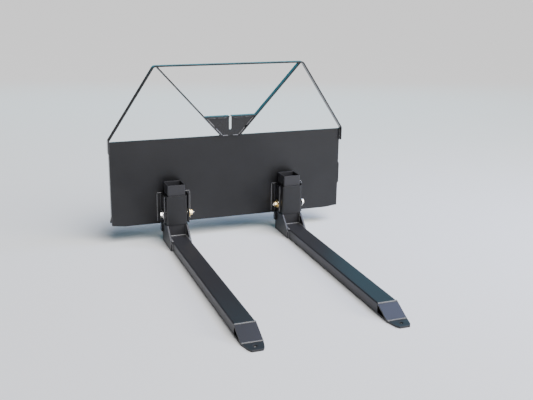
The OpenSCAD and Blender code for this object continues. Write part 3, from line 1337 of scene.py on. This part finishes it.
@dataclass
class Receiver:
    """One square sleeve with its two angle brackets.

    Attributes:
        side: which fork it holds.
        plate: the carriage plate.
        hole: the cross bolt's hole.
        fork_x: distance of the fork from the plate's middle.
        size: the sleeve's outer width and depth.
        wall: its wall.
        corner: its outer corner radius.
        rise: its lower end above the plate's bottom edge.
        height: its height.
        gap: the stand-off between the sleeve and the bracket on its +X side.
        angle: the brackets' thickness.
        leg_out: width of the leg that lies on the plate.
        leg_reach: reach of the leg that carries the bolt.
        angle_rise: the brackets' lower end above the plate's bottom edge.
        angle_height: the brackets' height.
    """

    side: Side
    plate: CarriagePlate
    hole: CrossHole
    fork_x: float = 286.0
    size: float = 97.5
    wall: float = 4.75
    corner: float = 8.0
    rise: float = 17.0
    height: float = 138.0
    gap: float = 13.0
    angle: float = 6.0
    leg_out: float = 23.0
    leg_reach: float = 60.0
    angle_rise: float = 10.0
    angle_height: float = 140.0

    @property
    def middle(self) -> float:
        """The X of the fork's middle."""
        return self.side.value * self.fork_x

    def leg_at(self, way: int) -> float:
        """Returns how far from the fork's middle a bracket starts, by the sign of its X."""
        return self.size / 2 + (self.gap if way > 0 else 0.0)

    def build(self, bench: Bench) -> None:
        """Builds and dresses the sleeve, the brackets and their welds.

        Args:
            bench: the mesh bench.
        """
        low = self.plate.lift + self.rise
        centre = (self.middle, -self.size / 2)
        inner = self.size - 2 * self.wall
        sleeve = bench.slab(f"receiver_sleeve_{self.side.word}",
                            rounded_box(centre, self.size, self.size, self.corner), Axis.Z,
                            low, low + self.height,
                            [rounded_box(centre, inner, inner, self.corner - self.wall)])
        bench.cut(sleeve, [self.hole.cutter(bench, self.middle, self.size)])
        bench.steel(sleeve, 0.7, RECEIVER_PAINT, f"sleeve_{self.side.word}")
        for way, word in self.side.flanks:
            self.build_bracket(bench, way, word)
        WeldRun(seed=3).lay(bench, f"receiver_welds_{self.side.word}", self.weld_paths())

    def build_bracket(self, bench: Bench, way: int, word: str) -> None:
        """Builds one angle bracket, rolled with a round inner root and a round toe.

        Args:
            bench: the mesh bench.
            way: the side of the sleeve, by the sign of X.
            word: the side's word in the node's name.
        """
        half, root, toe = self.leg_at(way), 4.0, 2.5
        face, reach, out = half + self.angle, self.leg_reach, half + self.leg_out
        line = [(half, 0.0), (half, -reach),
                *arc((face - toe, -reach + toe), toe, -90.0, 0.0, 4),
                *arc((face + root, -self.angle - root), root, 180.0, 90.0, 5),
                *arc((out - toe, -self.angle + toe), toe, -90.0, 0.0, 4), (out, 0.0)]
        low = self.plate.lift + self.angle_rise
        placed = [(self.middle + way * x, y) for x, y in line]
        bracket = bench.slab(f"receiver_angle_{self.side.word}_{word}", placed, Axis.Z, low,
                             low + self.angle_height)
        bench.cut(bracket, [self.hole.cutter(bench, self.middle, 2 * self.size)])
        bench.steel(bracket, 0.5, RECEIVER_PAINT, f"angle_{self.side.word}_{word}")

    def weld_paths(self) -> list[Path]:
        """Finds the beads along the brackets' toes and across the sleeve's ends.

        Returns:
            The paths, in millimetres.
        """
        low = self.plate.lift + self.angle_rise
        high = low + self.angle_height
        paths: list[Path] = []
        for way in (-1, 1):
            half = self.leg_at(way)
            out = self.middle + way * (half + self.leg_out + 0.5)
            paths.append([(out, -1.5, low + 4), (out, -1.5, high - 4)])
            paths.append([(self.middle + way * (half + 2), -2.0, high + 1.0),
                          (self.middle + way * (half + self.leg_out - 2), -2.0, high + 1.0)])
        toe_x, toe_y = self.middle - self.size / 2 - 1.5, -self.leg_reach - 0.8
        paths.append([(toe_x, toe_y, low + 12), (toe_x, toe_y, high - 6)])
        foot, clear, half_run = self.plate.lift + self.rise, 0.5, 38
        for z in (foot - clear, foot + self.height + clear):
            paths.append([(self.middle - half_run, -clear, z), (self.middle + half_run, -clear, z)])
        return paths


@dataclass
class Fork:
    """One fork: shank, tine, heel gussets, sloped nose and tip plate.

    Attributes:
        side: which fork.
        hole: the cross bolt's hole.
        fork_x: distance of the fork from the plate's middle.
        tube: width of the shank and the tine.
        wall: their wall.
        corner: their outer corner radius.
        rear: the shank's rear face, in front of the plate.
        tine_height: the tine's height.
        tine_reach: the reach of the tine's tube.
        shank_top: the height of the shank's open top.
        gusset: the gussets' thickness.
        gusset_gap: the gussets' distance from the plate.
        gusset_top: the height of their upper edge.
        gusset_relief: the length and height of the relief under the brackets.
        gusset_shoulder: where their slope starts, in front of the plate.
        gusset_reach: their reach.
        gusset_nose: the height of their front edge.
        nose_run: the nose's length along the ground.
        nose: the nose plate's thickness.
        tip: the tip plate's thickness.
        tip_length: the length of nose and tip together.
        tip_width: the width of the tip's front edge.
        tip_cut: the tip's width where its front corners are cut, and the cuts' length.
        tip_hole: the tip hole's radius and its distance from the front edge.
    """

    side: Side
    hole: CrossHole
    fork_x: float = 286.0
    tube: float = 84.0
    wall: float = 5.0
    corner: float = 6.0
    rear: float = 6.75
    tine_height: float = 46.0
    tine_reach: float = 1071.0
    shank_top: float = 289.0
    gusset: float = 8.0
    gusset_gap: float = 3.0
    gusset_top: float = 99.0
    gusset_relief: Point2 = (62.0, 92.0)
    gusset_shoulder: float = 97.5
    gusset_reach: float = 168.0
    gusset_nose: float = 34.0
    nose_run: float = 79.0
    nose: float = 7.0
    tip: float = 8.0
    tip_length: float = 139.0
    tip_width: float = 42.0
    tip_cut: Point2 = (60.0, 14.0)
    tip_hole: Point2 = (8.5, 29.0)

    @property
    def middle(self) -> float:
        """The X of the fork's middle."""
        return self.side.value * self.fork_x

    def build(self, bench: Bench) -> None:
        """Builds and dresses the whole fork.

        Args:
            bench: the mesh bench.
        """
        self.build_tubes(bench)
        self.build_gussets(bench)
        self.build_tip(bench)
        WeldRun(width=9.0, pitch=3.0, seed=5).lay(
            bench, f"fork_welds_{self.side.word}", self.weld_paths())

    def build_tubes(self, bench: Bench) -> None:
        """Builds the shank and the tine, both square-cut welded tube.

        Args:
            bench: the mesh bench.
        """
        word, inner = self.side.word, self.tube - 2 * self.wall
        root = self.corner - self.wall
        centre = (self.middle, -self.rear - self.tube / 2)
        shank = bench.slab(f"fork_shank_{word}",
                           rounded_box(centre, self.tube, self.tube, self.corner), Axis.Z,
                           self.tine_height, self.shank_top,
                           [rounded_box(centre, inner, inner, root)])
        bench.cut(shank, [self.hole.cutter(bench, self.middle, self.tube)])
        bench.steel(shank, 0.8, FORK_PAINT, f"shank_{word}")
        centre = (self.middle, self.tine_height / 2)
        tine = bench.slab(f"fork_tine_{word}",
                          rounded_box(centre, self.tube, self.tine_height, self.corner), Axis.Y,
                          -self.tine_reach, -self.rear,
                          [rounded_box(centre, inner, self.tine_height - 2 * self.wall, root)])
        bench.steel(tine, 0.6, FORK_PAINT, f"tine_{word}")

    def build_gussets(self, bench: Bench) -> None:
        """Builds the two heel gussets.

        Args:
            bench: the mesh bench.
        """
        end, low = self.gusset_relief
        line = [(-self.gusset_gap, 0.0), (-self.gusset_gap, low), (-end, low),
                (-end, self.gusset_top), (-self.gusset_shoulder, self.gusset_top),
                (-self.gusset_reach, self.gusset_nose), (-self.gusset_reach, 0.0)]
        for way, word in self.side.flanks:
            ends = sorted((self.middle + way * self.tube / 2,
                           self.middle + way * (self.tube / 2 + self.gusset)))
            gusset = bench.slab(f"fork_gusset_{self.side.word}_{word}", line, Axis.X, *ends)
            bench.steel(gusset, 0.7, FORK_PAINT, f"gusset_{self.side.word}_{word}")

    def build_tip(self, bench: Bench) -> None:
        """Builds the sloped nose plate and the drilled tip plate.

        Args:
            bench: the mesh bench.
        """
        word, half = self.side.word, self.tube / 2
        drop = self.tine_height - self.tip
        slope = math.hypot(self.nose_run, drop)
        foot = -self.tine_reach - self.nose_run
        line = [(-self.tine_reach, self.tine_height), (foot, self.tip),
                (foot + self.nose * slope / drop, self.tip),
                (-self.tine_reach, self.tine_height - self.nose * slope / self.nose_run)]
        nose = bench.slab(f"fork_nose_{word}", line, Axis.X, self.middle - half, self.middle + half)
        bench.steel(nose, 0.6, FORK_PAINT, f"nose_{word}")
        front = -self.tine_reach - self.tip_length
        narrow, shoulder, cut = self.tip_width / 2, self.tip_cut[0] / 2, front + self.tip_cut[1]
        right = [(narrow, front), (shoulder, cut), (half, foot), (half, -self.tine_reach)]
        outline = [(self.middle + x, y) for x, y in right + [(-x, y) for x, y in reversed(right)]]
        radius, inset = self.tip_hole
        tip = bench.slab(f"fork_tip_{word}", outline, Axis.Z, 0.0, self.tip,
                         [circle((self.middle, front + inset), radius)])
        bench.steel(tip, 0.8, FORK_PAINT, f"tip_{word}")

    def weld_paths(self) -> list[Path]:
        """Finds the beads at the heel, the gussets, the nose and the tip.

        Returns:
            The paths, in millimetres.
        """
        m, half, top = self.middle, self.tube / 2, self.tine_height
        face = -self.rear - self.tube
        foot = -self.tine_reach - self.nose_run
        paths: list[Path] = [
            [(m - half + inset, y, z), (m + half - inset, y, z)]
            for inset, y, z in ((4, face - 0.8, top + 0.8),
                                (3, -self.tine_reach - 0.3, top - 0.8),
                                (3, foot - 1.2, self.tip + 0.4))
        ]
        for way in (-1, 1):
            x = m + way * (half + 0.4)
            edge_x, end_y = x - way * 1.5, -self.gusset_reach - 1.0
            paths.append([(x, face - 1.0, top + 6), (x, face - 1.0, self.gusset_top - 4)])
            paths.append([(edge_x, -self.gusset_reach + 2, top + 0.2),
                          (edge_x, face - 4, top + 0.2)])
            paths.append([(x, end_y, 5.0), (x, end_y, self.gusset_nose - 2)])
        return paths


@dataclass
class CrossBolt:
    """One retaining bolt with its two washers and its nut.

    The head sits on the fork's outer side and the nut between the forks.

    Attributes:
        side: which fork it holds.
        hole: the bolt's axis.
        fork_x: distance of the fork from the plate's middle.
        radius: the bolt's radius.
        seat: distance of the close bracket's outer face from the fork's middle.
        stand_off: how much further out the bracket on the +X side is.
        washer: the washers' radius and thickness.
        flats: width across the flats of head and nut.
        head: the head's height.
        nut: the nut's height.
        end: length of thread that stands out of the nut.
        gap: radial gap round the bolt in nut and nut washer.
        press: radial gap round the bolt in the head washer.
        thread: the thread.
        thread_length: its length.
    """

    side: Side
    hole: CrossHole
    fork_x: float = 286.0
    radius: float = 7.9375
    seat: float = 54.75
    stand_off: float = 13.0
    washer: Point2 = (22.0, 3.4)
    flats: float = 23.8
    head: float = 10.2
    nut: float = 13.9
    end: float = 8.0
    gap: float = 0.3
    press: float = 0.02
    thread: ThreadRun = field(default_factory=ThreadRun)
    thread_length: float = 40.0

    @property
    def axis(self) -> Point2:
        """The bolt axis's (y, z)."""
        return -self.hole.out, self.hole.height

    @property
    def head_seat(self) -> float:
        """Distance of the head washer's seat from the fork's middle."""
        return self.seat + (self.stand_off if self.side is Side.RIGHT else 0.0)

    @property
    def nut_seat(self) -> float:
        """Distance of the nut washer's seat from the fork's middle."""
        return self.seat + (self.stand_off if self.side is Side.LEFT else 0.0)

    def x(self, outward: float) -> float:
        """Returns the X of a point at a distance from the fork's middle, outwards positive."""
        return self.side.value * (self.fork_x + outward)

    def hexagon(
        self, bench: Bench, name: str, inner: float, outer: float, both: bool
    ) -> bpy.types.Object:
        """Builds a hexagon with its corners turned down.

        Args:
            bench: the mesh bench.
            name: the piece's name.
            inner: its inner face's distance from the fork's middle.
            outer: its outer face's.
            both: True turns the inner corners down as well.

        Returns:
            The solid, without a bore.
        """
        corner = self.flats / 2 / math.cos(math.pi / 6)
        out_x, in_x = self.x(outer), self.x(inner)
        block = bench.slab(name, circle(self.axis, corner, 6), Axis.X, *sorted((in_x, out_x)))
        step = 1 if out_x > in_x else -1
        wide, rim = corner + 0.3, self.flats / 2 * 0.97
        cut = (wide - rim) * math.tan(math.radians(30))
        start = [(in_x - step, 0.0), (in_x - step, wide)]
        if both:
            start = [(in_x, 0.0), (in_x, rim), (in_x + step * cut, wide)]
        end = [(out_x - step * cut, wide), (out_x, rim), (out_x, 0.0)]
        turned = bench.turned(f"{name}_turned", start + end, self.axis, steps=72)
        return bench.cut(block, [turned], keep=True)

    def build(self, bench: Bench) -> None:
        """Builds and dresses the bolt, the washers and the nut.

        Args:
            bench: the mesh bench.
        """
        word, face = self.side.word, self.nut_seat + self.washer[1]
        # The bolt and its head washer get the near-white zinc, a painted highlight; the nut and its
        # washer stay yellow.
        self.build_bolt(bench, self.head_seat + self.washer[1], face)
        self.build_washer(bench, f"washer_head_{word}", ZINC_PAINTED_HIGHLIGHT, f"bolt_{word}",
                          f"head_washer_{word}", self.head_seat, self.radius + self.press)
        self.build_washer(bench, f"washer_nut_{word}", ZINC, f"washer_{word}",
                          f"nut_washer_{word}", -face, self.radius + self.gap)
        nut = self.hexagon(bench, f"hex_nut_{word}", -face - self.nut, -face, both=True)
        bore = self.radius + self.gap
        low, high = sorted((self.x(-face - self.nut), self.x(-face)))
        over, depth, flare = 1.0, 0.6, bore + 1.6
        profile = [(low - over, 0.0), (low - over, flare), (low + depth, bore),
                   (high - depth, bore), (high + over, flare), (high + over, 0.0)]
        bench.cut(nut, [bench.turned(f"nut_bore_{word}", profile, self.axis, steps=64)])
        bench.soften(nut, width=0.25, angle=20.0)
        bench.hand_over(nut, ZINC, f"nut_{word}", [f"nut_{word}"])

    def build_washer(
        self,
        bench: Bench,
        name: str,
        finish: Finish,
        body: str,
        node: str,
        seat: float,
        hole: float,
    ) -> None:
        """Builds one punched washer, rolled over on its outer edge.

        Args:
            bench: the mesh bench.
            name: the piece's name.
            finish: its finish.
            body: the frame body that it rides on.
            node: the frame node that it stands for.
            seat: its inner face's distance from the fork's middle.
            hole: its hole's radius.
        """
        outer, thick = self.washer
        lip, fine, mid = 0.7, 0.7 * 0.3, 0.7 * 0.5
        low, high = sorted((self.x(seat), self.x(seat + thick)))
        profile = [(low, hole + lip), (low, outer - lip), (low + fine, outer - fine),
                   (low + lip, outer), (high - mid, outer), (high, outer - mid),
                   (high, hole + lip * 0.4), (high - lip * 0.4, hole), (low + lip, hole)]
        washer = bench.turned(name, profile, self.axis, steps=64)
        washer.data.shade_smooth()
        washer.data.set_sharp_from_angle(angle=math.radians(50))
        bench.hand_over(washer, finish, body, [node])

    def build_bolt(self, bench: Bench, face: float, nut_face: float) -> None:
        """Builds the bolt: head, plain shank and rolled thread.

        Args:
            bench: the mesh bench.
            face: the head's seat, from the fork's middle.
            nut_face: the nut's seat, from the fork's middle.
        """
        word, r = self.side.word, self.radius
        tip = -nut_face - self.nut - self.end
        start = tip + self.thread_length
        core = r - self.thread.depth
        profile = [(self.x(face), 0.0), (self.x(face), r), (self.x(start + 2.0), r),
                   (self.x(start), core), (self.x(tip + 1.6), core), (self.x(tip), core - 1.4),
                   (self.x(tip), 0.0)]
        shank = bench.turned(f"bolt_shank_{word}", profile, self.axis)
        head = self.hexagon(bench, f"bolt_head_{word}", face, face + self.head, both=False)
        bench.soften(head, width=0.3, angle=20.0)
        joined = bmesh.new()
        joined.from_mesh(shank.data)
        joined.from_mesh(head.data)
        joined.to_mesh(shank.data)
        joined.free()
        bpy.data.objects.remove(head)
        shank.name = f"cross_bolt_{word}"
        way = -self.side.value
        first = (self.x(start - 1.0), *self.axis)
        self.thread.wind(bench, shank, first, self.thread_length - 2.6, r, way)
        shank.data.shade_smooth()
        shank.data.set_sharp_from_angle(angle=math.radians(35))
        bench.hand_over(shank, ZINC_PAINTED_HIGHLIGHT, f"bolt_{word}", [f"bolt_{word}"])


# -------------------------------------------------------------------- studio


@dataclass(frozen=True)
class SoftBox:
    """One rectangular lamp.

    Attributes:
        name: the lamp's name.
        place: its middle, in metres.
        aim: the point it faces.
        size: its width and height, in metres.
        power: its power, in watts.
        colour: its colour.
    """

    name: str
    place: Point3
    aim: Point3
    size: Point2
    power: float
    colour: Point3

    def hang(self) -> None:
        """Adds the lamp to the scene."""
        data = bpy.data.lights.new(self.name, "AREA")
        data.shape, data.size, data.size_y = "RECTANGLE", *self.size
        data.energy, data.color = self.power, self.colour
        lamp = in_scene(self.name, data)
        lamp.location = self.place
        facing = Vector(self.aim) - Vector(self.place)
        lamp.rotation_euler = facing.to_track_quat("-Z", "Y").to_euler()


SOFT_BOXES = (
    SoftBox("nose_box", place=(1.75, 0.0, 2.5), aim=(0.29, -0.54, 0.03), size=(0.9, 1.4),
            power=42.0, colour=(0.42, 0.55, 1.0)),
    SoftBox("rear_box", place=(1.6, 4.6, 2.1), aim=(0.2, 0.0, 0.2), size=(6.0, 1.8),
            power=56.0, colour=(0.04, 0.52, 0.72)),
    SoftBox("side_box", place=(3.6, -2.2, 1.6), aim=(0.3, 0.3, 0.3), size=(1.8, 1.6),
            power=130.0, colour=(1.0, 0.98, 0.97)),
)


@dataclass
class Studio:
    """Camera, floor and lights.

    Attributes:
        eye: the camera's place, in millimetres from the plate's middle at ground level.
        azimuth: its direction round the object, in degrees; 0 looks along +Y.
        elevation: its angle above the horizon.
        roll: its turn about its own axis.
        lens: its focal length, for a 36 mm wide sensor.
        room: the room's brightness.
        ceiling: the ceiling's strength, in watts to the square metre.
        ceiling_towards: the direction of the ceiling's middle.
        ceiling_spread: the angle that the ceiling fills, in degrees.
        floor_drop: the floor's distance under the forks, in metres.
    """

    eye: Point3 = (-1123.7, -3509.6, 1282.1)
    azimuth: float = -20.515
    elevation: float = 16.817
    roll: float = 0.863
    lens: float = 53.57
    room: float = 0.13
    ceiling: float = 4.6
    ceiling_towards: Point3 = (0.5, -1.35, 1.9)
    ceiling_spread: float = 44.0
    floor_drop: float = 0.0005

    def build_camera(self, bench: Bench) -> None:
        """Places the camera and makes it the scene's.

        Args:
            bench: the mesh bench.
        """
        a, e, r = (math.radians(v) for v in (self.azimuth, self.elevation, self.roll))
        back = Vector((math.sin(a) * math.cos(e), -math.cos(a) * math.cos(e), math.sin(e)))
        right = Vector((math.cos(a), math.sin(a), 0.0))
        up = back.cross(right)
        across = math.cos(r) * right + math.sin(r) * up
        upward = math.cos(r) * up - math.sin(r) * right
        data = bpy.data.cameras.new("studio_camera")
        data.sensor_fit, data.sensor_width, data.lens = "HORIZONTAL", 36.0, self.lens
        data.clip_start, data.clip_end = 0.05, 100.0
        camera = in_scene("studio_camera", data)
        turn = Matrix((across, upward, back)).transposed().to_4x4()
        camera.matrix_world = Matrix.Translation(bench.spot(self.eye)) @ turn
        bpy.context.scene.camera = camera

    def build_floor(self) -> None:
        """Lays a wide pale floor under the tines."""
        mesh = bmesh.new()
        bmesh.ops.create_grid(mesh, x_segments=4, y_segments=4, size=30.0)
        data = bpy.data.meshes.new("studio_floor")
        mesh.to_mesh(data)
        mesh.free()
        data.transform(Matrix.Translation((0.0, 0.0, -self.floor_drop)))
        floor = in_scene("studio_floor", data)
        data.materials.append(PaleFloor().material())

    def build_world(self) -> None:
        """Fills the room with even, nearly white light."""
        world = bpy.data.worlds.new("studio_room")
        bpy.context.scene.world = world
        world.use_nodes = True
        bench = NodeBench(world.node_tree)
        room = bench.add("ShaderNodeBackground", None,
                         {"Color": (0.97, 0.985, 1.0, 1.0), "Strength": self.room})
        bench.add("ShaderNodeOutputWorld", None, {"Surface": room.outputs[0]})

    def build_ceiling(self) -> None:
        """Lights the whole room evenly from a wide, far ceiling."""
        data = bpy.data.lights.new("ceiling_light", "SUN")
        data.energy, data.angle = self.ceiling, math.radians(self.ceiling_spread)
        data.color = (1.0, 0.99, 0.98)
        lamp = in_scene("ceiling_light", data)
        lamp.rotation_euler = Vector(self.ceiling_towards).to_track_quat("Z", "Y").to_euler()

    def build(self) -> None:
        """Builds floor, room and lamps."""
        self.build_floor()
        self.build_world()
        self.build_ceiling()
        for box in SOFT_BOXES:
            box.hang()
        LOG.info("studio: floor, room, ceiling light and %d soft boxes", len(SOFT_BOXES))


def main() -> None:
    """Builds the whole attachment on its frame."""
    logging.basicConfig(level=logging.INFO, format="%(name)s %(message)s")
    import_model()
    bench = Bench(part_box("face_plate")[0].y)
    studio = Studio()
    studio.build_camera(bench)
    plate = CarriagePlate()
    hole = CrossHole()
    guard = LoadGuard(plate)
    parts: list[Any] = [plate, RearCoupling(plate), guard, ChainHanger(guard)]
    for side in Side:
        parts += [Receiver(side, plate, hole), Fork(side, hole), CrossBolt(side, hole)]
    for part in parts:
        part.build(bench)
    studio.build()
    LOG.info("%d pieces", len(bench.made))


if __name__ == "__main__":
    main()
